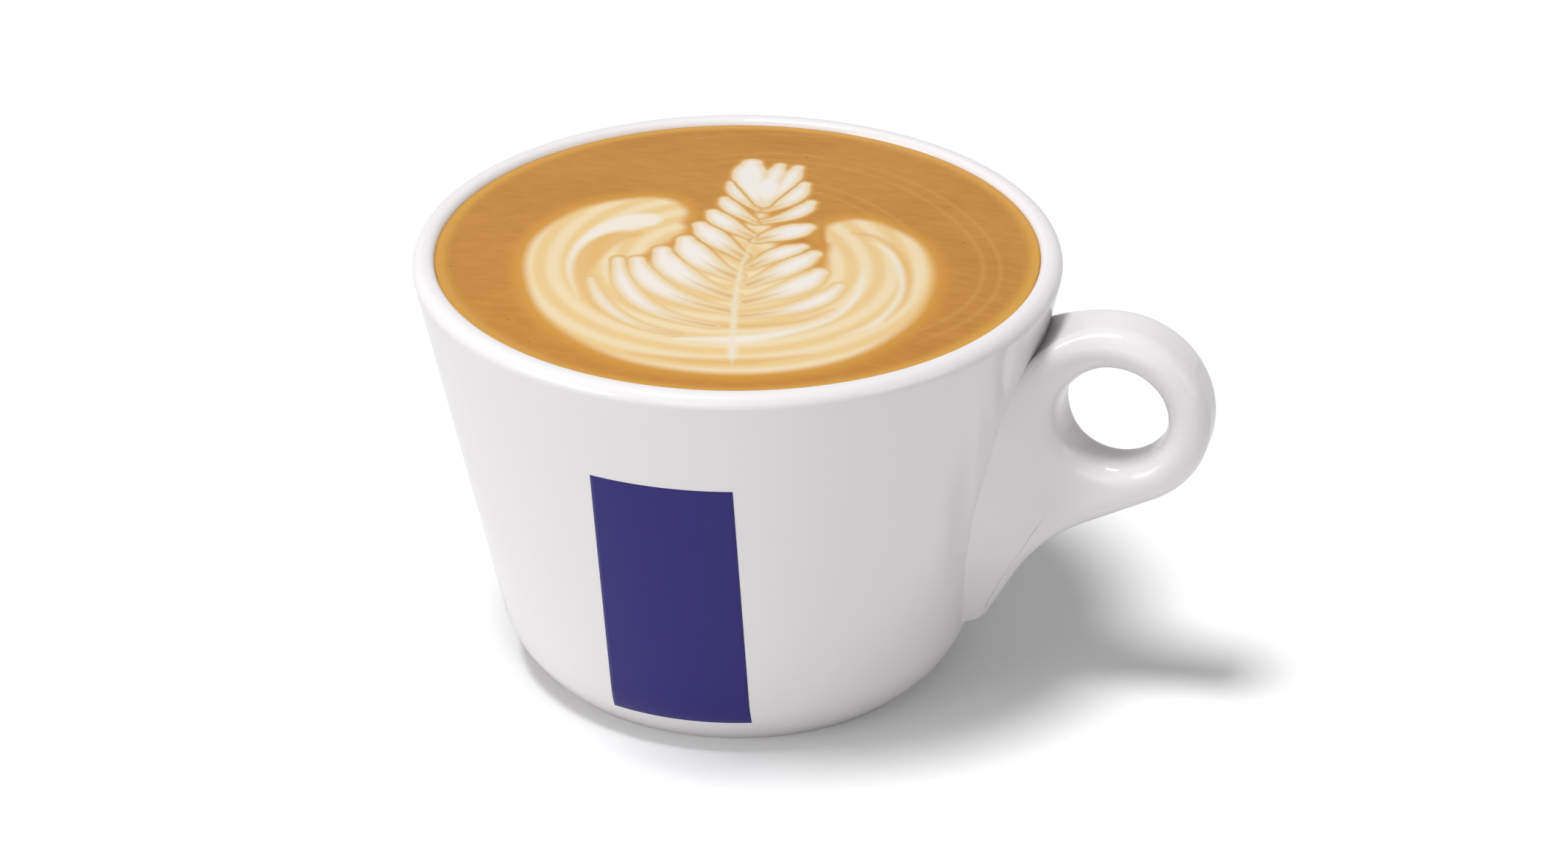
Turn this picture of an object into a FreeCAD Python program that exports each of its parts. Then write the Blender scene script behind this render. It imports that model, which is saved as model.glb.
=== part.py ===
import FreeCAD, Part
import math
import os

# A cappuccino in its porcelain cup. Millimetres, +Z up.
# The origin is the middle of the foot, on the table; the ring handle points along +X.

# Cup, outside and lip
rim_radius = 45.0  # widest, just under the crown of the lip
cup_height = 62.2
wall_lean = 12.4  # degrees from upright
lip_width = 2.9
lip_outer_round = 1.7
lip_inner_round = 1.1
heel_round = 15.5  # the belly's curve between wall and foot
heel_rise = 37.0  # degrees above the table at which the heel leaves the foot

# Cup, foot and inside
foot_inset = 3.93882  # the foot's edge in from the wall's line
foot_width = 3.6
foot_round = 0.5
recess_depth = 1.6
recess_round = 1.2
wall_taper = 0.6  # degrees more that the inside leans, so the wall thickens downwards
floor_height = 6.0  # the cup's inner floor above the table
inner_corner_round = 14.0

# Handle: a ring with a fin that runs down to the heel
ring_drop = 17.7  # the ring's middle below the rim
ring_reach = 12.27724  # and out from the wall beside it
ring_radius = 14.1
ring_thickness = 10.0
hole_offset_x = 0.2  # the finger hole's middle from the ring's middle
hole_offset_z = -0.3
hole_radius = 7.2
edge_round = 3.0  # the ring's and fin's outer and inner edges
fin_leave_angle = 27.5  # degrees below level at which the fin leaves the ring
fin_tail_angle = 61.0
fin_curve_radius = 25.0
fin_foot_height = 9.8  # the fin's cut lower end
fin_foot_reach = 2.6  # how far that end stands out from the wall
fin_foot_thickness = 6.8

# Flare: the cove that widens the handle's root into the wall
flare_radius = 9.0
flare_turn = 60.0  # degrees that the cove turns before it meets the wall
flare_neck = 4.0  # half the root's thickness where the cove begins
flare_low_margin = 2.2  # its lower end above the fin's cut end
flare_high_margin = 9.5  # its upper end above the ring's middle
flare_low_rise = 1.7  # the flare's lower end rises this much for each mm out from the wall
flare_high_rise = 0.35
flare_bury = 1.6  # how far its widest end runs on inside the wall
flare_sections = 7

# Drink
fill_drop = 0.9  # below the rim, where the foam meets the lip's inner curve
crown_rise = 1.3  # the middle of the foam above its edge
drink_gap = 0.05

inner_lean = wall_lean + wall_taper
ring_height = cup_height - ring_drop
fill_height = cup_height - fill_drop
flare_low = fin_foot_height + flare_low_margin
flare_high = ring_height + flare_high_margin


def at(x, z, y=0.0):
    return FreeCAD.Vector(x, y, z)


def heading(degrees):
    """Unit vector in the XZ plane, measured from +X towards +Z."""
    angle = math.radians(degrees)
    return at(math.cos(angle), math.sin(angle))


def corner_arc(here, before, after, radius):
    """Start, middle and end of the arc that rounds a corner between two neighbours."""
    to_before = (before - here).normalize()
    to_after = (after - here).normalize()
    half = to_before.getAngle(to_after) / 2
    inwards = (to_before + to_after).normalize()
    reach = radius / math.tan(half)
    rise = radius / math.sin(half) - radius
    return here + to_before * reach, here + inwards * rise, here + to_after * reach


def rounded_wire(corners):
    """Closed wire in the XZ plane through (point, radius) corners, straight between their arcs."""
    points = [point for point, radius in corners]
    edges = []
    spans = []
    for i, (here, radius) in enumerate(corners):
        if radius == 0.0:
            spans.append((here, here))
            continue
        following = points[(i + 1) % len(points)]
        start, middle, end = corner_arc(here, points[i - 1], following, radius)
        edges.append(Part.Arc(start, middle, end).toShape())
        spans.append((start, end))
    for i, (start, end) in enumerate(spans):
        edges.append(Part.LineSegment(spans[i - 1][1], start).toShape())
    return Part.Wire(Part.sortEdges(edges)[0])


def turned(wire):
    """Solid of revolution of an outline about Z, its seam away from the handle."""
    solid = Part.Face(wire).revolve(at(0, 0), at(0, 1), 360)
    solid.rotate(at(0, 0), at(0, 1), 180)
    return solid


def outer_wall(height):
    """Radius of the outside wall's straight line, which touches the lip's outer arc."""
    lean = math.radians(wall_lean)
    shoulder = lip_outer_round * (1 + math.sin(lean)) / math.cos(lean)
    return rim_radius - lip_outer_round + shoulder - (cup_height - height) * math.tan(lean)


def inner_wall(height):
    """Radius of the inside wall's straight line."""
    return rim_radius - lip_width - (cup_height - height) * math.tan(math.radians(inner_lean))


def ring_middle():
    """The ring's middle, out from the wall."""
    return at(outer_wall(ring_height) + ring_reach, ring_height)


def heel_corner():
    """Where the wall's line meets the line that rises from the foot."""
    lean = math.tan(math.radians(wall_lean))
    rise = math.tan(math.radians(heel_rise))
    height = foot_inset / (1 / rise - lean)
    return at(outer_wall(height), height)


def cup_body():
    """Cup without its handle: recessed foot, heel, wall, lip and inside in one outline."""
    foot_radius = outer_wall(0) - foot_inset
    foot_inside = foot_radius - foot_width
    return turned(rounded_wire([
        (at(0, recess_depth), 0.0),
        (at(foot_inside - recess_depth, recess_depth), recess_round),
        (at(foot_inside, 0), foot_round),
        (at(foot_radius, 0), foot_round),
        (heel_corner(), heel_round),
        (at(outer_wall(cup_height), cup_height), lip_outer_round),
        (at(inner_wall(cup_height), cup_height), lip_inner_round),
        (at(inner_wall(floor_height), floor_height), inner_corner_round),
        (at(0, floor_height), 0.0),
    ]))


def handle_outline():
    """Side outline of ring and fin: ring arc, straight run, fin arc and tail, closed inside the wall."""
    sink = lip_width / 2
    middle = ring_middle()
    run_start = middle + heading(fin_leave_angle - 90) * ring_radius
    tail_end = at(outer_wall(fin_foot_height) + fin_foot_reach, fin_foot_height)
    run = heading(fin_leave_angle + 180)
    tail = heading(fin_tail_angle + 180)
    gap = tail_end - run_start
    along = (gap.x * tail.z - gap.z * tail.x) / (run.x * tail.z - run.z * tail.x)
    bend = run_start + run * along
    bend_start, bend_middle, bend_end = corner_arc(bend, run_start, tail_end, fin_curve_radius)
    below = tail_end + tail * ring_thickness / 2
    root_low = at(outer_wall(fin_foot_height) - sink, below.z)
    top_x = outer_wall(middle.z + ring_radius / math.sqrt(2)) - sink
    ring_start = at(top_x, middle.z + math.sqrt(ring_radius ** 2 - (middle.x - top_x) ** 2))
    return Part.Wire([
        Part.Arc(ring_start, middle + heading(0) * ring_radius, run_start).toShape(),
        Part.LineSegment(run_start, bend_start).toShape(),
        Part.Arc(bend_start, bend_middle, bend_end).toShape(),
        Part.LineSegment(bend_end, below).toShape(),
        Part.LineSegment(below, root_low).toShape(),
        Part.LineSegment(root_low, ring_start).toShape(),
    ])


def half_thickness(height):
    """The handle's sides lean together downwards, from the ring's thickness to the fin's."""
    share = (height - fin_foot_height) / (ring_height - fin_foot_height)
    return (fin_foot_thickness + share * (ring_thickness - fin_foot_thickness)) / 2


def handle_sides():
    """Wedge that holds the handle between its two side planes."""
    low, high = 0.0, cup_height + ring_radius
    corners = [at(0, low, -half_thickness(low)), at(0, low, half_thickness(low)),
               at(0, high, half_thickness(high)), at(0, high, -half_thickness(high))]
    face = Part.Face(Part.makePolygon(corners + corners[:1]))
    return face.extrude(at(2 * rim_radius, 0))


def finger_hole():
    """Cylinder through the ring, across the handle."""
    centre = ring_middle() + at(hole_offset_x, hole_offset_z, -rim_radius)
    return Part.makeCylinder(hole_radius, 2 * rim_radius, centre, FreeCAD.Vector(0, 1, 0))


def is_side_edge(edge):
    """Edges of the handle's outline and hole on its two sides, without those buried in the wall."""
    across = edge.BoundBox.YLength > ring_thickness / 2
    middle = edge.valueAt((edge.FirstParameter + edge.LastParameter) / 2)
    return not across and middle.z > fin_foot_height and middle.x > outer_wall(middle.z)


def ring_and_fin():
    """Plate of the outline between its sides, with the hole, all its edges rounded, its foot cut level."""
    face = Part.Face(handle_outline())
    face.translate(FreeCAD.Vector(0, -ring_thickness, 0))
    plate = face.extrude(FreeCAD.Vector(0, 2 * ring_thickness, 0))
    plate = plate.common(handle_sides()).cut(finger_hole()).Solids[0]
    plate = plate.makeFillet(edge_round, [edge for edge in plate.Edges if is_side_edge(edge)])
    below = Part.makeBox(2 * rim_radius, 2 * rim_radius, fin_foot_height, FreeCAD.Vector(0, -rim_radius, 0))
    return plate.cut(below)


def flare_section(depth, half_width):
    """Ellipse in a plane along the wall, this far out from it."""
    lean = math.radians(wall_lean)
    out = max(depth, 0.0)
    low = flare_low + flare_low_rise * out
    high = flare_high + flare_high_rise * out
    height = (low + high) / 2
    centre = at(outer_wall(height) + depth / math.cos(lean), height)
    upwards = at(math.sin(lean), math.cos(lean)) * ((high - low) / 2 / math.cos(lean))
    sideways = FreeCAD.Vector(0, half_width, 0)
    return Part.Wire([Part.Ellipse(centre + upwards, centre + sideways, centre).toShape()])


def flare():
    """Loft of ellipses whose width follows the cove: a quarter-round that turns into the wall."""
    turn = math.radians(flare_turn)
    foot_width_half = flare_neck + flare_radius * (1 - math.cos(turn))
    wall_drop = foot_width_half ** 2 / (2 * outer_wall((flare_low + flare_high) / 2))
    start = flare_radius * math.sin(turn) - wall_drop
    sections = []
    for i in range(flare_sections):
        angle = turn * i / (flare_sections - 1)
        half_width = flare_neck + flare_radius * (1 - math.cos(angle))
        sections.append(flare_section(start - flare_radius * math.sin(angle), half_width))
    bury = flare_bury - wall_drop
    buried_width = foot_width_half + bury * math.tan(turn)
    sections.append(flare_section(-wall_drop - bury, buried_width))
    return Part.makeLoft(sections, True, False).cut(finger_hole())


def cup():
    """The whole porcelain: body, ring with fin, and flare, fired as one."""
    return cup_body().fuse(ring_and_fin()).fuse(flare()).removeSplitter().Solids[0]


def coffee():
    """Drink and foam up to the lip, its top a shallow dome."""
    lean = math.radians(inner_lean)
    side = drink_gap / math.cos(lean)
    low = floor_height + drink_gap
    edge = at(inner_wall(fill_height) - side, fill_height)
    low_corner = at(inner_wall(low) - side, low)
    start, middle, end = corner_arc(low_corner, at(0, low), edge, inner_corner_round - drink_gap)
    crown_height = fill_height + crown_rise
    dome_radius = (edge.x ** 2 + crown_rise ** 2) / (2 * crown_rise)
    dome_centre_z = crown_height - dome_radius
    half = math.asin(edge.x / dome_radius) / 2
    dome_middle = at(dome_radius * math.sin(half), dome_centre_z + dome_radius * math.cos(half))
    return turned(Part.Wire([
        Part.LineSegment(at(0, low), start).toShape(),
        Part.Arc(start, middle, end).toShape(),
        Part.LineSegment(end, edge).toShape(),
        Part.Arc(edge, dome_middle, at(0, crown_height)).toShape(),
        Part.LineSegment(at(0, crown_height), at(0, low)).toShape(),
    ]))


os.makedirs("parts", exist_ok=True)
for name, solid in (("cup", cup()), ("coffee", coffee())):
    solid.exportStep(f"parts/{name}.step")
    print(name, "valid" if solid.isValid() else "INVALID", round(solid.Volume / 1000, 2), "cm3")
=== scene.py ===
import math
import bpy
import numpy as np
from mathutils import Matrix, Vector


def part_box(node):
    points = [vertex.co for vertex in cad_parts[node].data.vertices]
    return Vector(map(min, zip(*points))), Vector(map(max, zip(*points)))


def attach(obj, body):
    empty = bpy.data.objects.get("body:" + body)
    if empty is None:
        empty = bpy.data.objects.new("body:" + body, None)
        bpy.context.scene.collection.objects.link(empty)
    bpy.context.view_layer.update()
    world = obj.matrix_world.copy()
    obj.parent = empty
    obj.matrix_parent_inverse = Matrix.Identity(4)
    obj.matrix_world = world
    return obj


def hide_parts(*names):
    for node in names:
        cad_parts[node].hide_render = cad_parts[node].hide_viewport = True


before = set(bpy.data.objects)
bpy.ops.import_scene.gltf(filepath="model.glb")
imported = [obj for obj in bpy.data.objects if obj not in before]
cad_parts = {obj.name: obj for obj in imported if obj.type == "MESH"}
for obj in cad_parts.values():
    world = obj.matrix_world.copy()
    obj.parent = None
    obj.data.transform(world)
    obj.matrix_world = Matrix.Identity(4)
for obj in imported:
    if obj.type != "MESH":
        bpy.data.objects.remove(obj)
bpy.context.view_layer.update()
cupLow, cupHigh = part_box("cup")
drinkLow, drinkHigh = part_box("coffee")
mm = 0.001

viewTurn = math.radians(14.2)    # the camera stands this far round from -Y, towards the handle


def srgb(red, green, blue):
    # screen values 0 to 255 to the linear ones that a shader takes
    def linear(value):
        value /= 255.0
        return value / 12.92 if value <= 0.04045 else ((value + 0.055) / 1.055) ** 2.4
    return (linear(red), linear(green), linear(blue), 1.0)


def smooth(low, high, value):
    # smoothstep: 0 at low, 1 at high, level at both ends
    share = np.clip((value - low) / (high - low), 0.0, 1.0)
    return share * share * (3.0 - 2.0 * share)


def newMaterial(name):
    # an empty material with a Principled shader joined to its output
    material = bpy.data.materials.new(name)
    material.use_nodes = True
    nodes = material.node_tree.nodes
    nodes.clear()
    output = nodes.new("ShaderNodeOutputMaterial")
    shader = nodes.new("ShaderNodeBsdfPrincipled")
    material.node_tree.links.new(shader.outputs["BSDF"], output.inputs["Surface"])
    return material, nodes, material.node_tree.links, shader


def mapRange(nodes, links, source, low, high, toLow=0.0, toHigh=1.0, kind="LINEAR"):
    # a value moved from one range to another and held at its ends
    step = nodes.new("ShaderNodeMapRange")
    step.interpolation_type = kind
    for name, value in (("From Min", low), ("From Max", high), ("To Min", toLow), ("To Max", toHigh)):
        step.inputs[name].default_value = value
    links.new(source, step.inputs["Value"])
    return step.outputs["Result"]


def attributeRange(nodes, links, name, low, high, most=1.0):
    # a stored field run through a smooth step between two of its values
    source = nodes.new("ShaderNodeAttribute")
    source.attribute_name = name
    return mapRange(nodes, links, source.outputs["Fac"], low, high, 0.0, most, "SMOOTHSTEP")


def noise(nodes, links, place, scale, detail):
    # cloudy noise, 0 to 1, read at a place
    texture = nodes.new("ShaderNodeTexNoise")
    texture.inputs["Scale"].default_value = scale
    texture.inputs["Detail"].default_value = detail
    links.new(place, texture.inputs["Vector"])
    return texture.outputs["Fac"]


def combine(nodes, links, operation, first, second):
    # two values joined by one operation
    node = nodes.new("ShaderNodeMath")
    node.operation = operation
    links.new(first, node.inputs[0])
    links.new(second, node.inputs[1])
    return node.outputs[0]


def mixColour(nodes, links, factor, first, second, blend="MIX"):
    # two colours mixed by a factor, each of the three a fixed value or a link
    mix = nodes.new("ShaderNodeMix")
    mix.data_type = "RGBA"
    mix.blend_type = blend
    for socket, value in ((mix.inputs[0], factor), (mix.inputs[6], first), (mix.inputs[7], second)):
        if isinstance(value, bpy.types.NodeSocket):
            links.new(value, socket)
        else:
            socket.default_value = value
    return mix.outputs[2]


def gridFaces(rows, columns, closed):
    # quads between neighbouring rows and columns of a grid, round to the first column when closed
    row = np.arange(rows - 1)[:, None]
    column = np.arange(columns if closed else columns - 1)[None, :]
    following = (column + 1) % columns
    corners = (row * columns + column, row * columns + following,
               (row + 1) * columns + following, (row + 1) * columns + column)
    return np.stack([np.broadcast_to(c, (rows - 1, column.shape[1])) for c in corners], -1).reshape(-1, 4)


def turned(profile, columns, firstHeight, lastHeight, flip=False):
    # a profile of radius and height turned about the axis, (r cos a, r sin a, z), with a point at each end
    angle = np.linspace(0.0, 2 * math.pi, columns, endpoint=False)
    points = np.stack([profile[:, :1] * np.cos(angle), profile[:, :1] * np.sin(angle),
                       np.broadcast_to(profile[:, 1:], (len(profile), columns))], -1).reshape(-1, 3)
    count = len(points)
    last = count - columns
    here = np.arange(columns)
    following = (here + 1) % columns
    quads = gridFaces(len(profile), columns, True)
    fans = np.vstack([np.stack([following, here, np.full(columns, count)], -1),
                      np.stack([last + here, last + following, np.full(columns, count + 1)], -1)])
    if flip:
        quads, fans = quads[:, ::-1], fans[:, ::-1]
    points = np.vstack([points, [[0, 0, firstHeight], [0, 0, lastHeight]]])
    return points, quads.tolist() + fans.tolist()


def newPiece(name, points, faces, material, body="root"):
    # a smooth mesh of points and faces, with its material, that rides a body
    mesh = bpy.data.meshes.new(name)
    mesh.from_pydata(points.reshape(-1, 3).tolist(), [], faces)
    mesh.polygons.foreach_set("use_smooth", np.ones(len(mesh.polygons), bool))
    mesh.materials.append(material)
    mesh.update()
    piece = bpy.data.objects.new(name, mesh)
    bpy.context.scene.collection.objects.link(piece)
    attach(piece, body)
    return piece


def addField(piece, name, values):
    # one number for each point, stored with the mesh
    attribute = piece.data.attributes.new(name, "FLOAT", "POINT")
    attribute.data.foreach_set("value", np.asarray(values, np.float32).ravel())


# Camera: metres and degrees, lens and sensor in millimetres
cameraValues = {"distance": 0.8269, "rise": 27.89, "lens": 135.2, "sensor": 36.0, "clipStart": 0.01,
                "aimAlong": 0.00642, "aimHeight": 0.03464}


def addCamera():
    # back from the aim by the distance, lifted by the rise and turned by the view's turn
    rise = math.radians(cameraValues["rise"])
    across = (math.cos(viewTurn), math.sin(viewTurn))
    behind = (-math.sin(viewTurn), math.cos(viewTurn))
    aim = [cameraValues["aimAlong"] * across[0], cameraValues["aimAlong"] * across[1],
           cameraValues["aimHeight"]]
    back = cameraValues["distance"] * math.cos(rise)
    data = bpy.data.cameras.new("camera")
    data.lens = cameraValues["lens"]
    data.sensor_width = cameraValues["sensor"]
    data.clip_start = cameraValues["clipStart"]
    camera = bpy.data.objects.new("camera", data)
    camera.location = (aim[0] - behind[0] * back, aim[1] - behind[1] * back,
                       aim[2] + cameraValues["distance"] * math.sin(rise))
    camera.rotation_euler = (math.pi / 2 - rise, 0.0, viewTurn)
    bpy.context.scene.collection.objects.link(camera)
    bpy.context.scene.camera = camera


addCamera()
print("camera placed")

# Latte art, in millimetres on the drink's surface seen from above, y away from the camera.
# A leaf: foot x, y on the stem, bend x, y, tip x, y, half width. A stroke: its path and its half widths.
artValues = {
    "crown": [                                       # three lobes on one body
        (3.0, 13.5, 0.9, 21.0, 1.9, 27.6, 2.6),
        (3.9, 13.5, 4.6, 22.0, 5.9, 26.8, 1.5),
        (4.0, 13.5, 7.0, 20.0, 8.4, 26.1, 1.55),
        (3.8, 13.0, 4.0, 18.0, 4.3, 21.6, 2.5),
    ],
    "leaves": [
        (3.0, 11.4, -0.4, 15.8, -1.0, 20.6, 1.3),    # left side, from the crown down
        (2.7, 7.2, -1.2, 11.4, -1.9, 15.0, 1.45),
        (2.1, 2.6, -2.2, 6.8, -3.5, 10.6, 1.8),
        (0.8, -3.6, -3.2, 1.6, -5.2, 6.4, 2.05),
        (-0.1, -9.8, -6.0, -5.0, -7.2, 1.8, 2.4),
        (-0.5, -15.6, -9.4, -9.8, -10.4, -1.4, 2.3),
        (-1.0, -19.6, -12.6, -15.0, -13.8, -4.2, 1.95),
        (-3.0, -23.8, -16.0, -20.0, -16.4, -4.0, 1.5),
        (-8.0, -26.0, -18.2, -22.6, -20.0, -9.6, 0.95),
        (3.8, 11.4, 8.0, 14.0, 9.3, 20.2, 1.6),      # right side, from the crown down
        (3.3, 7.4, 8.6, 9.2, 10.2, 14.0, 1.5),
        (2.8, 1.8, 6.4, 3.6, 9.6, 5.8, 2.25),
        (1.9, -6.6, 5.4, -2.4, 8.9, -0.4, 1.75),
        (1.5, -12.0, 6.8, -7.8, 10.6, -2.6, 1.95),
        (1.1, -17.0, 8.4, -13.8, 11.3, -8.2, 2.15),
        (0.6, -21.0, 10.8, -19.6, 13.9, -12.2, 1.6),
    ],
    "leafSteps": 26, "footShare": 0.50, "fullAt": 0.60, "tipLoss": 0.40, "tipFrom": 0.72,
    "hairline": 0.30, "vein": 0.20, "veinFade": 1.3, "crownTone": (10.0, 22.0),
    "bowlPath": [(-12.8, 10.2), (-17.6, 7.4), (-22.3, 1.0), (-23.5, -8.0), (-20.5, -19.0), (-12.0, -28.0),
                 (0.0, -31.4), (11.0, -28.6), (18.5, -20.0), (21.3, -10.0), (20.6, -1.5), (16.8, 3.6)],
    "bowlWidths": [5.9, 7.0, 6.5, 5.6, 5.6, 5.7, 5.6, 5.5, 5.6, 5.7, 5.6, 5.2],
    "ovalMiddle": (-2.0, -16.0), "ovalReach": (19.0, 17.5),
    "ovalTop": -8.0, "ovalLift": 4.0, "ovalLiftAlong": (-2.0, -16.0),
    "fills": [
        ([(-10.6, 5.4), (-13.4, 2.2), (-16.6, -2.0), (-18.2, -8.0)], [3.5, 3.8, 3.8, 3.0]),
        ([(15.4, 1.6), (15.8, -3.0), (15.6, -8.0), (14.0, -13.0)], [2.6, 3.6, 3.8, 3.0]),
        ([(3.4, 11.0), (2.4, 4.0), (1.0, -3.0), (-0.6, -9.0), (-1.0, -15.0)], [0.6, 2.6, 5.0, 8.0, 10.0]),
    ],
    "pale": [
        ([(-12.8, 8.4), (-14.6, 8.0), (-18.0, 6.2), (-21.2, 2.4), (-22.8, -2.6), (-23.0, -8.0),
          (-21.6, -15.0)], [2.3, 2.5, 1.8, 0.9, 0.6, 0.4, 0.1]),
        ([(-0.4, -24.6), (-0.5, -28.0), (-0.5, -31.4), (-0.6, -34.6)], [-0.1, 0.6, 0.7, -0.2]),
        ([(18.4, 1.4), (20.8, -1.4), (22.2, -6.2), (22.5, -12.3), (21.2, -17.6), (18.6, -22.6),
          (14.0, -26.6)], [0.1, 0.45, 0.5, 0.5, 0.5, 0.5, 0.1]),
        ([(17.4, -7.0), (17.0, -11.0), (15.9, -16.0), (13.2, -21.0), (8.6, -24.6), (1.0, -27.4),
          (-8.0, -27.2)], [0.1, 0.5, 0.6, 0.6, 0.8, 1.3, 0.4]),
    ],
    "gold": [
        ([(-14.0, 4.0), (-17.6, 2.4), (-20.2, -2.0), (-21.2, -7.0), (-20.9, -12.0), (-18.9, -17.6),
          (-15.2, -22.4)], [0.7, 1.9, 2.0, 1.2, 0.6, 0.4, 0.1]),
        ([(16.0, 4.2), (19.0, 3.2), (21.6, -0.4), (23.1, -5.0), (23.4, -11.0), (22.6, -16.6),
          (20.0, -22.0)], [0.2, 0.4, 0.45, 0.4, 0.4, 0.3, 0.0]),
        ([(-9.0, -20.6), (-4.0, -23.4), (2.0, -24.0), (8.6, -22.4), (13.0, -19.0)],
         [0.1, 0.4, 0.45, 0.4, 0.1]),
        ([(-14.0, -31.0), (-6.0, -33.2), (2.0, -33.4), (10.0, -31.6)], [0.0, 0.7, 0.7, 0.0]),
    ],
    "brown": [([(11.2, 7.4), (11.6, 2.8), (11.8, -0.6), (12.2, -4.0)], [0.6, 0.5, 0.3, -0.3])],
    "stem": [([(3.7, 14.0), (3.1, 8.0), (2.5, 3.0), (1.2, -3.0), (0.3, -9.0), (-0.2, -16.0), (-0.4, -24.0),
               (-0.6, -36.0)], [-0.3, -0.2, -0.1, 0.1, 0.25, 0.35, 0.4, -0.2])],
}


nowhere = -99.0        # depth in a stroke before any stroke is met


def strokeField(x, y, points, halfWidths):
    # how deep each place lies in a stroke, its half width less the distance to its middle line,
    # and how far along the stroke it is, from 0 to 1
    best = np.full(x.shape, nowhere)
    along = np.zeros(x.shape)
    count = len(points) - 1
    for i in range(count):
        start, step = points[i], points[i + 1] - points[i]
        length = float(step @ step) + 1e-12
        share = np.clip(((x - start[0]) * step[0] + (y - start[1]) * step[1]) / length, 0.0, 1.0)
        offX, offY = x - start[0] - share * step[0], y - start[1] - share * step[1]
        depth = halfWidths[i] + share * (halfWidths[i + 1] - halfWidths[i]) - np.hypot(offX, offY)
        better = depth > best
        best = np.where(better, depth, best)
        along = np.where(better, (i + share) / count, along)
    return best, along


def leafAndVein(x, y, row):
    # The middle line is a quadratic curve: foot, bend and tip weighted by (1-t)^2, 2t(1-t) and t^2. The leaf
    # is thin at the stem, full past its half and narrower at the tip. The vein narrows evenly along it.
    v = artValues
    t = np.linspace(0.0, 1.0, v["leafSteps"])
    foot, bend, tip = np.array(row[0:2]), np.array(row[2:4]), np.array(row[4:6])
    s = t[:, None]
    path = (1 - s) ** 2 * foot + 2 * s * (1 - s) * bend + s ** 2 * tip
    swell = v["footShare"] + (1.0 - v["footShare"]) * smooth(0.0, v["fullAt"], t)
    widths = row[6] * swell * (1.0 - v["tipLoss"] * smooth(v["tipFrom"], 1.0, t))
    depth, along = strokeField(x, y, path, widths)
    vein = strokeField(x, y, path, v["vein"] * row[6] - v["veinFade"] * t)[0]
    return depth, along, vein


def pathStroke(x, y, points, widths, count=10):
    # a stroke along a Catmull-Rom curve, whose slope at each point is that between its neighbours, with its
    # half widths given at even steps and filled in between
    points = np.array(points, float)
    ends = np.vstack([2 * points[0] - points[1], points, 2 * points[-1] - points[-2]])
    t = np.linspace(0.0, 1.0, count, endpoint=False)[:, None]
    pieces = []
    for i in range(len(points) - 1):
        a, b, c, d = ends[i:i + 4]
        pieces.append(0.5 * (2 * b + (c - a) * t + (2 * a - 5 * b + 4 * c - d) * t ** 2
                             + (3 * b - a - 3 * c + d) * t ** 3))
    path = np.vstack(pieces + [points[-1:]])
    even = np.interp(np.linspace(0, 1, len(path)), np.linspace(0, 1, len(widths)), widths)
    return strokeField(x, y, path, even)[0]


def artFields(x, y):
    # Of the leaves the deepest wins, and a hairline stays between neighbours, where the two deepest are
    # level. The bowl is its stroke, the fills and an oval whose top is cut off, higher towards the left.
    v = artValues
    deepest = np.max([leafAndVein(x, y, row)[0] for row in v["crown"]], axis=0)
    second = np.full(x.shape, nowhere)
    veins = np.full(x.shape, nowhere)
    tone = smooth(*v["crownTone"], y)
    for row in v["leaves"]:
        depth, along, vein = leafAndVein(x, y, row)
        veins = np.maximum(veins, vein)
        ahead = depth > deepest
        second = np.where(ahead, deepest, np.maximum(second, depth))
        tone = np.where(ahead, along, tone)
        deepest = np.where(ahead, depth, deepest)
    milk = np.minimum(deepest, deepest - second - v["hairline"])
    (middleX, middleY), (reachX, reachY) = v["ovalMiddle"], v["ovalReach"]
    oval = (1.0 - np.hypot((x - middleX) / reachX, (y - middleY) / reachY)) * reachY
    cut = v["ovalTop"] - y + v["ovalLift"] * smooth(*v["ovalLiftAlong"], x)
    oval = np.where(y > v["ovalTop"], np.minimum(oval, cut), oval)
    bowl = np.max([oval, pathStroke(x, y, v["bowlPath"], v["bowlWidths"])]
                  + [pathStroke(x, y, *fill) for fill in v["fills"]], axis=0)
    fields = {"milk": milk, "leafTone": tone, "vein": veins, "bowl": bowl}
    for name in ("pale", "gold", "brown", "stem"):
        fields[name] = np.max([pathStroke(x, y, *stroke) for stroke in v[name]], axis=0)
    return fields


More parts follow.
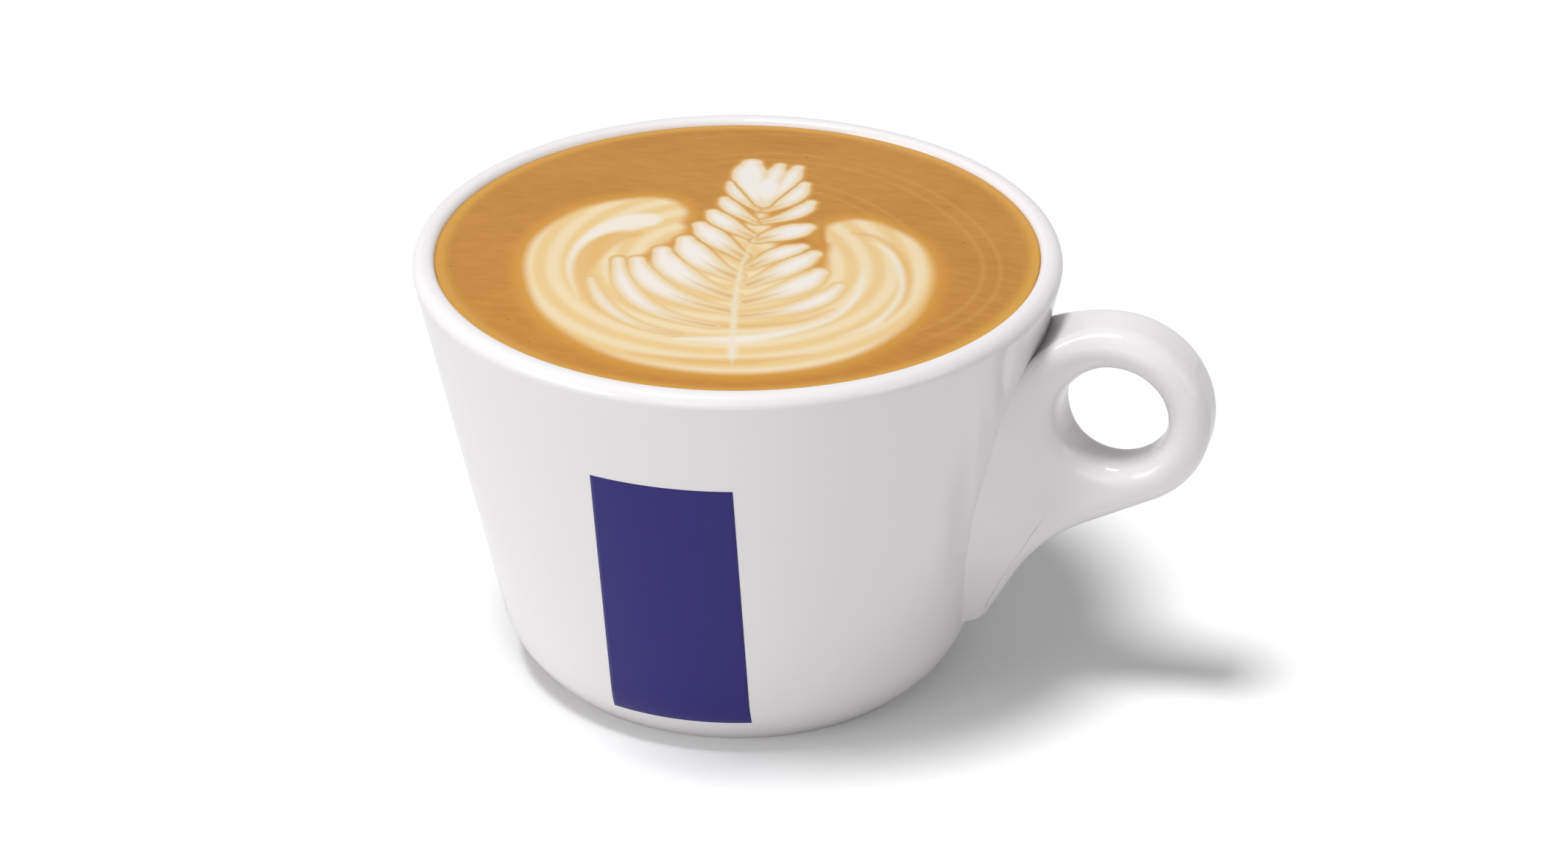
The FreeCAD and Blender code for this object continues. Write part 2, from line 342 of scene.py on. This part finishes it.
# Drink: lengths in metres, and those of the bands and the ripples in millimetres like the art's
drinkValues = {
    "columns": 560, "topRows": 148, "dome": 1.25 * mm, "edgeInset": 0.4 * mm, "edgeDepth": 2 * mm,
    "sideRadius": 31 * mm, "sideRise": 8 * mm, "bottomRadius": 20 * mm, "edgeFrom": 0.93,
    "bandMiddle": (-2.0, -6.0), "bandWide": 1.04, "bandNear": 0.98, "bandFar": 0.86, "bandTurns": 1.75,
    "bandWave": 0.9, "lowerFrom": 4.0, "lowerTo": -16.0,
    "rippleMiddle": (4.0, -2.0), "rippleWave": 1.2, "rippleSways": 3.0, "rippleTurns": 2.6, "rippleFrom": 0.1,
    "groupTurns": 0.63, "groupPhase": 1.0, "rippleSide": (4.0, 18.0), "rippleTilt": 0.5, "rippleEnd": 0.9,
    "coreRange": (0.1, 1.5), "toneRange": (0.0, 0.6),
    "cloudScale": 60.0, "cloudDetail": 4.0, "grainScale": 900.0, "grainDetail": 3.0,
    "grainStretch": (0.35, 1.0, 1.0), "grainShare": 0.30,
    "holeScale": 420.0, "holeSize": (0.05, 0.12), "patchScale": 110.0, "patchDetail": 2.0,
    "patchRange": (0.54, 0.62), "patchMost": 0.75,
    "roughness": 0.5, "shine": 0.22, "shade": (0.81, 0.81, 0.83, 1.0),
    "colours": {
        "cremaDark": srgb(176, 114, 24), "cremaLight": srgb(206, 146, 58), "grainDark": srgb(148, 88, 16),
        "grainLight": srgb(232, 174, 88), "pinhole": srgb(122, 74, 22), "ripple": srgb(216, 160, 84),
        "edge": srgb(216, 160, 70), "glow": srgb(214, 154, 62), "cream": srgb(237, 204, 142),
        "creamLight": srgb(242, 220, 178), "gold": srgb(228, 180, 104), "brown": srgb(204, 144, 60),
        "pale": srgb(243, 234, 216), "seamUpper": srgb(214, 160, 80), "seamLower": srgb(233, 198, 136),
        "leafFoot": srgb(236, 212, 168), "leafEdge": srgb(238, 214, 172), "leafCore": srgb(243, 237, 226),
        "vein": srgb(222, 172, 98), "stem": srgb(240, 224, 194),
    },
    "layers": [
        # field, the value where the layer begins and where it is full, its most, its colour
        ("ripple", 0.0, 1.0, 0.28, "ripple"),
        ("edge", 0.0, 1.0, 1.0, "edge"),
        ("bowl", -3.2, 0.4, 1.0, "glow"),
        ("bowl", -0.6, 1.2, 1.0, "bowl"),
        ("gold", -0.8, 0.7, 0.8, "gold"),
        ("brown", -0.5, 0.4, 1.0, "brown"),
        ("pale", -0.5, 0.9, 1.0, "pale"),
        ("milk", -0.75, -0.1, 0.85, "seam"),
        ("milk", -0.25, 0.35, 1.0, "leaf"),
        ("vein", -0.5, 0.35, 0.7, "vein"),
        ("stem", -0.5, 0.5, 1.0, "stem"),
    ],
}


def drinkMaterial():
    # crema with clouds, grain and pinholes, and the art's layers over it, each over those before
    v = drinkValues
    paint = dict(v["colours"])
    material, nodes, links, shader = newMaterial("cremaAndMilk")
    place = nodes.new("ShaderNodeTexCoord").outputs["Object"]
    cloud = noise(nodes, links, place, v["cloudScale"], v["cloudDetail"])
    colour = mixColour(nodes, links, cloud, paint["cremaDark"], paint["cremaLight"])
    stretch = nodes.new("ShaderNodeMapping")
    stretch.inputs["Scale"].default_value = v["grainStretch"]
    links.new(place, stretch.inputs["Vector"])
    grain = noise(nodes, links, stretch.outputs["Vector"], v["grainScale"], v["grainDetail"])
    grained = mixColour(nodes, links, grain, paint["grainDark"], paint["grainLight"])
    colour = mixColour(nodes, links, v["grainShare"], colour, grained)
    cells = nodes.new("ShaderNodeTexVoronoi")
    cells.inputs["Scale"].default_value = v["holeScale"]
    links.new(place, cells.inputs["Vector"])
    holes = mapRange(nodes, links, cells.outputs["Distance"], *v["holeSize"], 1.0, 0.0)
    patch = noise(nodes, links, place, v["patchScale"], v["patchDetail"])
    where = mapRange(nodes, links, patch, *v["patchRange"], 0.0, v["patchMost"])
    pinholes = combine(nodes, links, "MULTIPLY", holes, where)
    colour = mixColour(nodes, links, pinholes, colour, paint["pinhole"])
    band = attributeRange(nodes, links, "band", 0.0, 1.0)
    paint["bowl"] = mixColour(nodes, links, band, paint["cream"], paint["creamLight"])
    lower = attributeRange(nodes, links, "lower", 0.0, 1.0)
    paint["seam"] = mixColour(nodes, links, lower, paint["seamUpper"], paint["seamLower"])
    core = attributeRange(nodes, links, "milk", *v["coreRange"])
    leaf = mixColour(nodes, links, core, paint["leafEdge"], paint["leafCore"])
    tone = attributeRange(nodes, links, "leafTone", *v["toneRange"])
    paint["leaf"] = mixColour(nodes, links, tone, paint["leafFoot"], leaf)
    for field, low, high, most, name in v["layers"]:
        share = attributeRange(nodes, links, field, low, high, most)
        colour = mixColour(nodes, links, share, colour, paint[name])
    colour = mixColour(nodes, links, 1.0, colour, v["shade"], "MULTIPLY")
    links.new(colour, shader.inputs["Base Color"])
    shader.inputs["Roughness"].default_value = v["roughness"]
    shader.inputs["Specular IOR Level"].default_value = v["shine"]
    return material


def bandField(x, y):
    # cream bands round the bowl: the sine of a stretched distance that sways twice in a turn
    v = drinkValues
    x, y = x - v["bandMiddle"][0], y - v["bandMiddle"][1]
    ring = np.hypot(x / v["bandWide"], y * np.where(y < 0.0, v["bandNear"], v["bandFar"]))
    return 0.5 + 0.5 * np.sin(ring * v["bandTurns"] + v["bandWave"] * np.sin(2 * np.arctan2(y, x)))


def rippleField(x, y, distance):
    # faint rings in the crema on the right: a sine of a swaying distance, in groups by a slower sine
    v = drinkValues
    offX, offY = x - v["rippleMiddle"][0], y - v["rippleMiddle"][1]
    sway = np.sin(v["rippleSways"] * np.arctan2(offY, offX))
    wander = np.hypot(offX, offY) + v["rippleWave"] * sway
    lines = smooth(v["rippleFrom"], 1.0, np.sin(wander * v["rippleTurns"]))
    groups = smooth(0.0, 1.0, 0.5 + 0.5 * np.sin(wander * v["groupTurns"] + v["groupPhase"]))
    side = smooth(*v["rippleSide"], x + v["rippleTilt"] * y)
    return lines * groups * side * smooth(1.0, v["rippleEnd"], distance)


def addDrink():
    # a turned surface: a dome that falls with the square of the radius, then its edge, side and flat bottom
    v = drinkValues
    edge, low = drinkHigh.x, drinkLow.z
    share = np.linspace(0.0, 1.0, v["topRows"])
    top = np.stack([share * edge, drinkHigh.z - v["dome"] * share ** 2.0], -1)
    side = [[edge - v["edgeInset"], top[-1, 1] - v["edgeDepth"]], [v["sideRadius"], low + v["sideRise"]],
            [v["bottomRadius"], low]]
    points, faces = turned(np.vstack([top[1:], side]), v["columns"], drinkHigh.z, low, flip=True)
    piece = newPiece("drink", points, faces, drinkMaterial())
    x = (points[:, 0] * math.cos(viewTurn) + points[:, 1] * math.sin(viewTurn)) / mm
    y = (points[:, 1] * math.cos(viewTurn) - points[:, 0] * math.sin(viewTurn)) / mm
    distance = np.hypot(x, y) / (edge / mm)
    for name, values in artFields(x, y).items():
        addField(piece, name, values)
    addField(piece, "band", bandField(x, y))
    addField(piece, "edge", smooth(v["edgeFrom"], 1.0, distance))
    addField(piece, "lower", smooth(v["lowerFrom"], v["lowerTo"], y))
    addField(piece, "ripple", rippleField(x, y, distance))
    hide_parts("coffee")


addDrink()
print("drink poured")


# Porcelain, millimetres: the same sizes as the solid's, the rim and the height read from it
rimRadius = min(cupHigh.y, -cupLow.y) / mm
cupHeight = cupHigh.z / mm
cupValues = {"wallLean": 12.4, "wallTaper": 0.6, "lipWidth": 2.9, "lipOuterRound": 1.7, "lipInnerRound": 1.1,
             "heelRound": 15.5, "heelRise": 37.0, "footRadius": 27.8, "footWidth": 3.6, "footRound": 0.5,
             "recessDepth": 1.6, "recessRound": 1.2, "floorHeight": 6.0, "innerRound": 14.0,
             "columns": 320, "bottomSteps": 6, "sideSteps": 14, "glaze": srgb(223, 220, 221),
             "roughness": 0.09, "ior": 1.5, "waveScale": 45.0, "waveDetail": 2.0, "waveStrength": 0.12,
             "waveDepth": 0.0006}


def wallRadius(height):
    # the outside wall's straight line, which touches the lip's outer arc
    lean = math.radians(cupValues["wallLean"])
    lip = cupValues["lipOuterRound"]
    lipRadius = rimRadius - lip + lip * (1 + math.sin(lean)) / math.cos(lean)
    return lipRadius - (cupHeight - height) * math.tan(lean)


def innerRadius(height):
    # the inside wall's straight line, in from the rim by the lip's width and leaning more by the taper
    lean = math.radians(cupValues["wallLean"] + cupValues["wallTaper"])
    return rimRadius - cupValues["lipWidth"] - (cupHeight - height) * math.tan(lean)


def cornerArc(before, here, after, radius, steps):
    # arc that touches both sides of a corner: its two end radii mixed by the sines of the angle still to turn
    before, here, after = np.array(before, float), np.array(here, float), np.array(after, float)
    toBefore = (before - here) / np.linalg.norm(before - here)
    toAfter = (after - here) / np.linalg.norm(after - here)
    half = math.acos(float(toBefore @ toAfter)) / 2
    start, end = here + toBefore * radius / math.tan(half), here + toAfter * radius / math.tan(half)
    inwards = (toBefore + toAfter) / np.linalg.norm(toBefore + toAfter)
    centre = here + inwards * radius / math.sin(half)
    turn = math.pi - 2 * half
    t = np.linspace(0.0, 1.0, steps)[:, None]
    startShare, endShare = np.sin((1 - t) * turn) / math.sin(turn), np.sin(t * turn) / math.sin(turn)
    return centre + startShare * (start - centre) + endShare * (end - centre)


def straight(start, end, steps):
    # even places between two ends and without them: the two ends mixed by share
    t = np.linspace(0.0, 1.0, steps + 2)[1:-1, None]
    return (1 - t) * np.array(start, float) + t * np.array(end, float)


def cupOutline():
    # radius and height from the middle underneath, round foot, heel, wall and lip, to the middle inside
    v = cupValues
    lean, rise = math.tan(math.radians(v["wallLean"])), math.tan(math.radians(v["heelRise"]))
    heelHeight = (wallRadius(0) - v["footRadius"]) / (1 / rise - lean)
    footInside = v["footRadius"] - v["footWidth"]
    corners = [        # place, round and steps
        ((footInside - v["recessDepth"], v["recessDepth"]), v["recessRound"], 8),
        ((footInside, 0), v["footRound"], 6),
        ((v["footRadius"], 0), v["footRound"], 6),
        ((wallRadius(heelHeight), heelHeight), v["heelRound"], 24),
        ((wallRadius(cupHeight), cupHeight), v["lipOuterRound"], 14),
        ((innerRadius(cupHeight), cupHeight), v["lipInnerRound"], 10),
        ((innerRadius(v["floorHeight"]), v["floorHeight"]), v["innerRound"], 16),
    ]
    places = [(0.0, v["recessDepth"])] + [corner[0] for corner in corners] + [(0.0, v["floorHeight"])]
    arcs = [cornerArc(places[i], places[i + 1], places[i + 2], radius, steps)
            for i, (place, radius, steps) in enumerate(corners)]
    outline = [straight(places[0], arcs[0][0], v["bottomSteps"])]
    for arc, following in zip(arcs, arcs[1:] + [np.array([places[-1]])]):
        outline += [arc, straight(arc[-1], following[0], v["sideSteps"])]
    return np.vstack(outline)


def porcelainMaterial():
    # clear white glaze whose surface waves a little
    v = cupValues
    material, nodes, links, shader = newMaterial("whiteGlaze")
    shader.inputs["Base Color"].default_value = v["glaze"]
    shader.inputs["Roughness"].default_value = v["roughness"]
    shader.inputs["IOR"].default_value = v["ior"]
    place = nodes.new("ShaderNodeTexCoord").outputs["Object"]
    bump = nodes.new("ShaderNodeBump")
    bump.inputs["Strength"].default_value = v["waveStrength"]
    bump.inputs["Distance"].default_value = v["waveDepth"]
    links.new(noise(nodes, links, place, v["waveScale"], v["waveDetail"]), bump.inputs["Height"])
    links.new(bump.outputs["Normal"], shader.inputs["Normal"])
    return material


def addCup(material):
    # the outline turned about the axis
    outline = cupOutline() * mm
    points, faces = turned(outline, cupValues["columns"], outline[0, 1], outline[-1, 1])
    piece = newPiece("cupBody", points, faces, material)
    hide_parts("cup")


# Handle, millimetres and degrees: places from the lip and the wall, then the counts and pulls of its threads
handleValues = {
    "ringDrop": 18.3, "ringReach": 12.16, "ringRadius": 13.85, "ringThickness": 9.4,
    "holeAlong": 0.45, "holeUp": 0.3, "holeRadius": 7.5, "edgeRound": 3.0, "sink": 1.45,
    "finLeave": 27.5, "finTail": 61.0, "finCurve": 25.0, "finFootHeight": 10.1, "finFootReach": 2.5,
    "finThickness": 6.8, "thicknessMost": 1.3, "footCorner": 0.01, "roundPast": 8.0,
    "flareReach": 10.0, "flarePower": 2.6, "flareMost": 1.12,
    "flareHeights": (10.0, 13.4, 22.0, 31.0, 44.0, 53.5, 58.0),
    "flareWidths": (1.6, 2.8, 6.4, 8.2, 7.4, 4.6, 3.0),
    "ringSteps": 150, "finSteps": 24, "curveSteps": 44, "tailSteps": 22, "footSteps": 14, "rootSteps": 96,
    "across": 44, "band": 9, "ease": 14, "holePull": 0.55, "edgePull": 0.7, "edgePullMost": 7.0,
    "spread": 6.0, "spreadColumns": (170, 192, 240, 258, 330), "spreadShares": (0.0, -1.0, 0.25, 0.5, 0.0),
}


def heading(degrees):
    # step of length one in a direction: its cosine and its sine
    return np.array([math.cos(math.radians(degrees)), math.sin(math.radians(degrees))])


def arcAbout(centre, radius, start, end, steps):
    # places on a circle from one angle to another: the centre and the radius times cosine and sine
    angle = np.radians(np.linspace(start, end, steps))
    return np.stack([centre[0] + radius * np.cos(angle), centre[1] + radius * np.sin(angle)], -1)


def handleLoops():
    # Outline of ring and fin in the handle's plane, back inside the wall, and the hole's circle beside it.
    # Each point of the circle lies in its outline point's direction, spread a little near the fin's foot.
    v = handleValues
    ringHeight = cupHeight - v["ringDrop"]
    middle = np.array([wallRadius(ringHeight) + v["ringReach"], ringHeight])
    hole = middle + np.array([v["holeAlong"], v["holeUp"]])
    topAlong = wallRadius(ringHeight + v["ringRadius"] / math.sqrt(2)) - v["sink"]
    topAngle = math.degrees(math.acos((topAlong - middle[0]) / v["ringRadius"]))
    ring = arcAbout(middle, v["ringRadius"], topAngle, v["finLeave"] - 90, v["ringSteps"])
    tailEnd = np.array([wallRadius(v["finFootHeight"]) + v["finFootReach"], v["finFootHeight"]])
    run, tail = heading(v["finLeave"] + 180), heading(v["finTail"] + 180)
    gap = tailEnd - ring[-1]
    along = (gap[0] * tail[1] - gap[1] * tail[0]) / (run[0] * tail[1] - run[1] * tail[0])
    bend = cornerArc(ring[-1], ring[-1] + run * along, tailEnd, v["finCurve"], v["curveSteps"])
    rootLow = np.array([wallRadius(v["finFootHeight"]) - v["sink"], v["finFootHeight"]])
    edge = np.vstack([ring, straight(ring[-1], bend[0], v["finSteps"]), bend,
                      straight(bend[-1], tailEnd, v["tailSteps"]),
                      [tailEnd + (bend[-1] - tailEnd) * v["footCorner"], tailEnd]])
    root = np.vstack([straight(tailEnd, rootLow, v["footSteps"]), [rootLow],
                      straight(rootLow, ring[0], v["rootSteps"])])
    rounded = np.vstack([edge, [tailEnd + tail * v["roundPast"]]])
    outer = np.vstack([edge, root])
    angles = np.unwrap(np.arctan2(outer[:, 1] - hole[1], outer[:, 0] - hole[0]))
    shares = np.interp(np.arange(len(outer)), v["spreadColumns"], v["spreadShares"])
    angles -= math.radians(v["spread"]) * shares
    inner = hole + v["holeRadius"] * np.stack([np.cos(angles), np.sin(angles)], -1)
    return inner, outer, rounded, hole


def distanceTo(points, line):
    # least distance from each point to the segments of a line
    best = np.full(points.shape[:-1], 1e9)
    for start, end in zip(line[:-1], line[1:]):
        step = end - start
        share = np.clip(((points - start) @ step) / max(float(step @ step), 1e-12), 0.0, 1.0)
        best = np.minimum(best, np.linalg.norm(points - start - share[..., None] * step, axis=-1))
    return best


def addHandle(material):
    # Threads run from the hole's circle to the outline on cubic curves that leave both squarely. The sides
    # stand off the middle plane by the half thickness, rounded by a quarter circle near both edges, and widen
    # towards the wall with a power of the nearness. Bands close them along the hole and along the outline.
    # Last, near the wall each point moves in by the wall's own curve, so that the root follows the cup.
    v = handleValues
    inner, outer, rounded, hole = handleLoops()
    u = 0.5 - 0.5 * np.cos(np.linspace(0.0, math.pi, v["across"]))[:, None, None]
    length = np.linalg.norm(outer - inner, axis=-1)[:, None]
    outwards = (inner - hole) / v["holeRadius"]
    slope = np.roll(outer, -1, 0) - np.roll(outer, 1, 0)
    normal = np.stack([-slope[:, 1], slope[:, 0]], -1) / np.linalg.norm(slope, axis=-1)[:, None]
    normal = sum(np.roll(normal, k, 0) for k in range(-v["ease"], v["ease"] + 1)) / (2 * v["ease"] + 1)
    near = outwards * length * v["holePull"]
    far = normal * np.minimum(length * v["edgePull"], v["edgePullMost"])
    plane = ((2 * u ** 3 - 3 * u ** 2 + 1) * inner + (u ** 3 - 2 * u ** 2 + u) * near
             + (3 * u ** 2 - 2 * u ** 3) * outer + (u ** 3 - u ** 2) * far)
    toHole = np.linalg.norm(plane - hole, axis=-1) - v["holeRadius"]
    reach = np.clip(np.minimum(distanceTo(plane, rounded), toHole) / v["edgeRound"], 0.0, 1.0)
    rise = (plane[..., 1] - v["finFootHeight"]) / (cupHeight - v["ringDrop"] - v["finFootHeight"])
    thicker = np.clip(rise, 0, v["thicknessMost"]) * (v["ringThickness"] - v["finThickness"])
    thickness = (v["finThickness"] + thicker) / 2
    lean = math.radians(cupValues["wallLean"])
    off = (plane[..., 0] - wallRadius(plane[..., 1])) * math.cos(lean)
    nearness = np.clip(1.0 - off / v["flareReach"], 0.0, v["flareMost"])
    flare = np.interp(plane[..., 1], v["flareHeights"], v["flareWidths"]) * nearness ** v["flarePower"]
    side = thickness - v["edgeRound"] + v["edgeRound"] * np.sqrt(1.0 - (1.0 - reach) ** 2) + flare
    share = np.linspace(1.0, -1.0, v["band"])[1:-1, None]
    across = np.concatenate([side, share * side[-1], -side[::-1], -share * side[0]])
    flat = np.concatenate([plane, np.broadcast_to(plane[-1], (len(share),) + plane[-1].shape), plane[::-1],
                           np.broadcast_to(plane[0], (len(share),) + plane[0].shape)])
    wall = wallRadius(flat[..., 1])
    away = (flat[..., 0] - wall) * math.cos(lean)
    drop = (wall - np.sqrt(wall ** 2 - across ** 2)) * smooth(v["flareReach"], 0.0, away)
    points = np.stack([flat[..., 0] - drop, across, flat[..., 1]], -1)
    rows, columns = points.shape[:2]
    row, column = np.arange(rows)[:, None], np.arange(columns)[None, :]
    nextRow, nextColumn = (row + 1) % rows, (column + 1) % columns
    faces = np.stack(np.broadcast_arrays(row * columns + column, row * columns + nextColumn,
                                         nextRow * columns + nextColumn, nextRow * columns + column), -1)
    piece = newPiece("handle", points * mm, faces.reshape(-1, 4).tolist(), material)
    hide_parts("cup")


# Panel, millimetres
panelValues = {"width": 20.0, "low": 5.0, "high": 46.6, "proud": 0.05, "border": 0.03, "rows": 90,
               "columns": 40, "colour": srgb(50, 44, 110), "roughness": 0.22, "shine": 0.14}


def withBorder(low, high, steps):
    # even steps between two ends, with one more at each end for the border
    border = panelValues["border"]
    return np.concatenate([[low], np.linspace(low + border, high - border, steps), [high]])


def addPanel():
    # a patch of the outside wall, along it by height and across it by arc length, its border pressed in
    v = panelValues
    outline = cupOutline()
    outside = outline[:int(np.argmax(outline[:, 0]))]
    outside = outside[outside[:, 0] > cupValues["footRadius"]]
    height = withBorder(v["low"], v["high"], v["rows"])[:, None]
    along = withBorder(-v["width"] / 2, v["width"] / 2, v["columns"])[None, :]
    radius = np.interp(height, outside[:, 1], outside[:, 0])
    lift = np.full((height.shape[0], along.shape[1]), v["proud"])
    lift[[0, -1], :] = lift[:, [0, -1]] = -v["proud"]
    angle = along / radius - math.pi / 2
    points = np.stack([(radius + lift) * np.cos(angle), (radius + lift) * np.sin(angle),
                       np.broadcast_to(height, lift.shape)], -1) * mm
    material, nodes, links, shader = newMaterial("blueGlaze")
    shader.inputs["Base Color"].default_value = v["colour"]
    shader.inputs["Roughness"].default_value = v["roughness"]
    shader.inputs["Specular IOR Level"].default_value = v["shine"]
    piece = newPiece("panel", points, gridFaces(*lift.shape, False).tolist(), material)
    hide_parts("cup")


glaze = porcelainMaterial()
addCup(glaze)
addHandle(glaze)
addPanel()
print("cup, handle and panel glazed")


# Floor and light. A lamp: turn from the camera and rise in degrees, distance and width in metres, watts
studioValues = {
    "floorHalf": 3.0, "floorShade": (0.8, 0.8, 0.8, 1), "floorSeen": (0.97, 0.97, 0.97, 1),
    "floorRoughness": 0.9, "floorShine": 0.0,
    "skyTint": (0.98, 0.98, 1.0, 1), "skyStrength": 0.28, "seenStrength": 1.0,
    "lamps": {
        "keyLamp": (-58, 77, 2.4, 0.75, 47.0),
        "leftFill": (-60, 13, 2.4, 1.6, 22.0),
        "frontFill": (-14, 14, 2.4, 1.2, 4.0),
        "rightFill": (60, 12, 2.4, 1.6, 6.0),
    },
}


def floorMaterial():
    # one shade for the light that the floor throws back and a paler one for the camera
    v = studioValues
    material, nodes, links, shader = newMaterial("paleFloor")
    seen = nodes.new("ShaderNodeLightPath").outputs["Is Camera Ray"]
    colour = mixColour(nodes, links, seen, v["floorShade"], v["floorSeen"])
    links.new(colour, shader.inputs["Base Color"])
    shader.inputs["Roughness"].default_value = v["floorRoughness"]
    shader.inputs["Specular IOR Level"].default_value = v["floorShine"]
    return material


def addFloor():
    # a flat square about the cup
    half = studioValues["floorHalf"]
    corners = [[-half, -half, 0], [half, -half, 0], [half, half, 0], [-half, half, 0]]
    mesh = bpy.data.meshes.new("floor")
    mesh.from_pydata(corners, [], [[0, 1, 2, 3]])
    mesh.materials.append(floorMaterial())
    floor = bpy.data.objects.new("floor", mesh)
    bpy.context.scene.collection.objects.link(floor)


def addLamp(name, turn, rise, distance, size, power):
    # a round lamp on a sphere about the cup, by its turn and its rise, that faces the middle
    data = bpy.data.lights.new(name, "AREA")
    data.shape = "DISK"
    data.size = size
    data.energy = power
    lamp = bpy.data.objects.new(name, data)
    turn, rise = math.radians(turn) + viewTurn, math.radians(rise)
    lamp.location = (distance * math.cos(rise) * math.sin(turn), -distance * math.cos(rise) * math.cos(turn),
                     distance * math.sin(rise))
    lamp.rotation_euler = (math.pi / 2 - rise, 0.0, turn)
    bpy.context.scene.collection.objects.link(lamp)


def addWorld():
    # a soft sky lights the scene, and a white one is what the camera and the reflections see
    v = studioValues
    world = bpy.data.worlds.new("studio")
    bpy.context.scene.world = world
    world.use_nodes = True
    nodes, links = world.node_tree.nodes, world.node_tree.links
    nodes.clear()
    output = nodes.new("ShaderNodeOutputWorld")
    rays = nodes.new("ShaderNodeLightPath").outputs
    soft = nodes.new("ShaderNodeBackground")
    soft.inputs["Color"].default_value = v["skyTint"]
    soft.inputs["Strength"].default_value = v["skyStrength"]
    white = nodes.new("ShaderNodeBackground")
    white.inputs["Strength"].default_value = v["seenStrength"]
    seen = combine(nodes, links, "MAXIMUM", rays["Is Camera Ray"], rays["Is Transmission Ray"])
    seen = combine(nodes, links, "MAXIMUM", seen, rays["Is Glossy Ray"])
    mix = nodes.new("ShaderNodeMixShader")
    links.new(seen, mix.inputs[0])
    links.new(soft.outputs[0], mix.inputs[1])
    links.new(white.outputs[0], mix.inputs[2])
    links.new(mix.outputs[0], output.inputs["Surface"])


addFloor()
addWorld()
for lampName, lampPlace in studioValues["lamps"].items():
    addLamp(lampName, *lampPlace)
bpy.context.scene.view_settings.view_transform = "Standard"
print("floor and light set")
